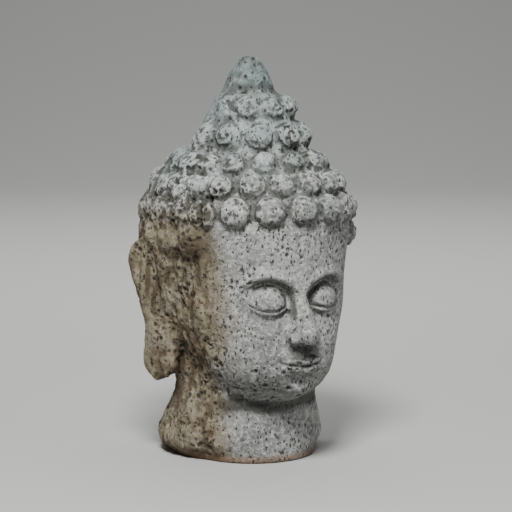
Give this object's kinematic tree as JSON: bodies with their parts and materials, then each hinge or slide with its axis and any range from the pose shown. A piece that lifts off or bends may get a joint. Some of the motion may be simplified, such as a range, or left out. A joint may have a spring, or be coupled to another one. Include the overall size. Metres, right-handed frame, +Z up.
{
  "type": "stone buddha head",
  "caption": "Weathered stone head of a buddha with snail curls, cone-shaped crown knot, long ears and closed eyes, cut off flat below the neck to stand on.",
  "frame": {"origin": "centre of the flat underside of the neck", "axes": "+Z up to the tip of the crown knot, the face looks along -Y, the head's own right ear is on -X"},
  "size_m": [0.2358, 0.2554, 0.406],
  "materials": {
    "weathered_stone": "matt, pitted grey stone with dark pits, pale rubbed edges, ochre dirt on one side and a cool grey crown"
  },
  "bodies": {
    "root": {"buddha_head": "weathered_stone"}
  },
  "joints": []
}
